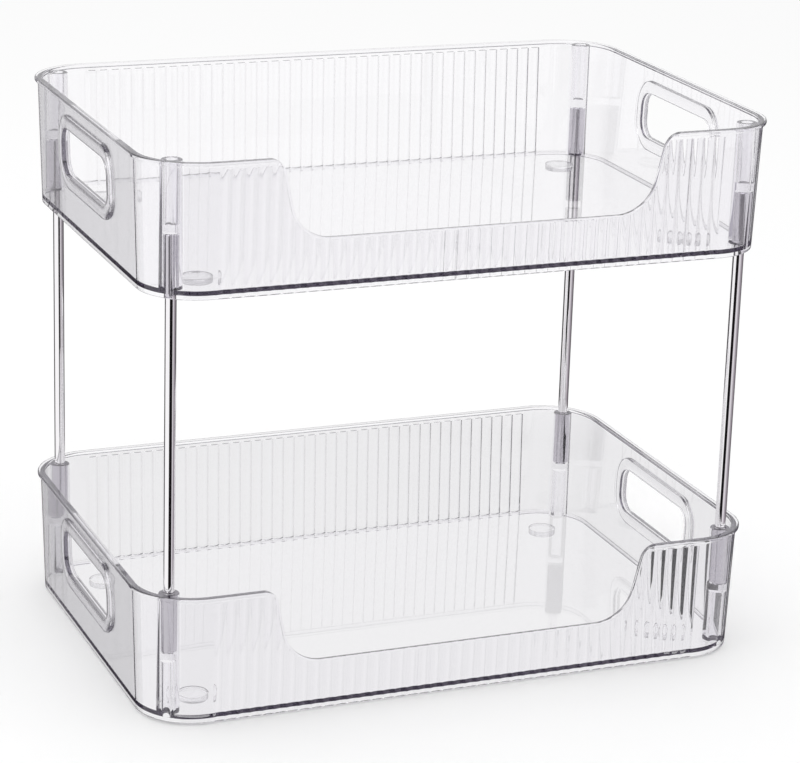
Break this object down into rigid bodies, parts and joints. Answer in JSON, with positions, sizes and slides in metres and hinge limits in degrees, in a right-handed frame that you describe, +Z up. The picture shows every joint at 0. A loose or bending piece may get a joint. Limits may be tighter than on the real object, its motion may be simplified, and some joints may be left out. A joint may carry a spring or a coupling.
{
  "type": "two-tier makeup organizer",
  "caption": "Clear fluted trays with scooped fronts and hand holes, carried one above the other on slim chromed corner rods for cosmetics and small bottles.",
  "frame": {"origin": "on the ground under the middle of the object, at the underside of the lower foot pads", "axes": "+X to the right seen from the front, +Y to the back, +Z up; the scooped walls face -Y"},
  "size_m": [0.298, 0.204, 0.255],
  "materials": {
    "clear_plastic": "clear moulded plastic with a faint cool grey tint, high gloss",
    "chromed_steel": "mirror-bright chrome on steel rod",
    "clear_silicone": "clear soft silicone, satin"
  },
  "bodies": {
    "lower_tier": {"lower_tray": "clear_plastic", "lower_pad_front_left": "clear_silicone", "lower_pad_front_right": "clear_silicone", "lower_pad_rear_left": "clear_silicone", "lower_pad_rear_right": "clear_silicone"},
    "rods": {"rod_front_left": "chromed_steel", "rod_front_right": "chromed_steel", "rod_rear_left": "chromed_steel", "rod_rear_right": "chromed_steel"},
    "upper_tier": {"upper_tray": "clear_plastic", "upper_pad_front_left": "clear_silicone", "upper_pad_front_right": "clear_silicone", "upper_pad_rear_left": "clear_silicone", "upper_pad_rear_right": "clear_silicone"}
  },
  "joints": [
    {"name": "rods_lift", "type": "slide", "parent": "lower_tier", "child": "rods", "axis": [0, 0, 1], "range_m": [0, 0.035]},
    {"name": "upper_tray_lift", "type": "slide", "parent": "rods", "child": "upper_tier", "axis": [0, 0, 1], "range_m": [0, 0.035]}
  ]
}
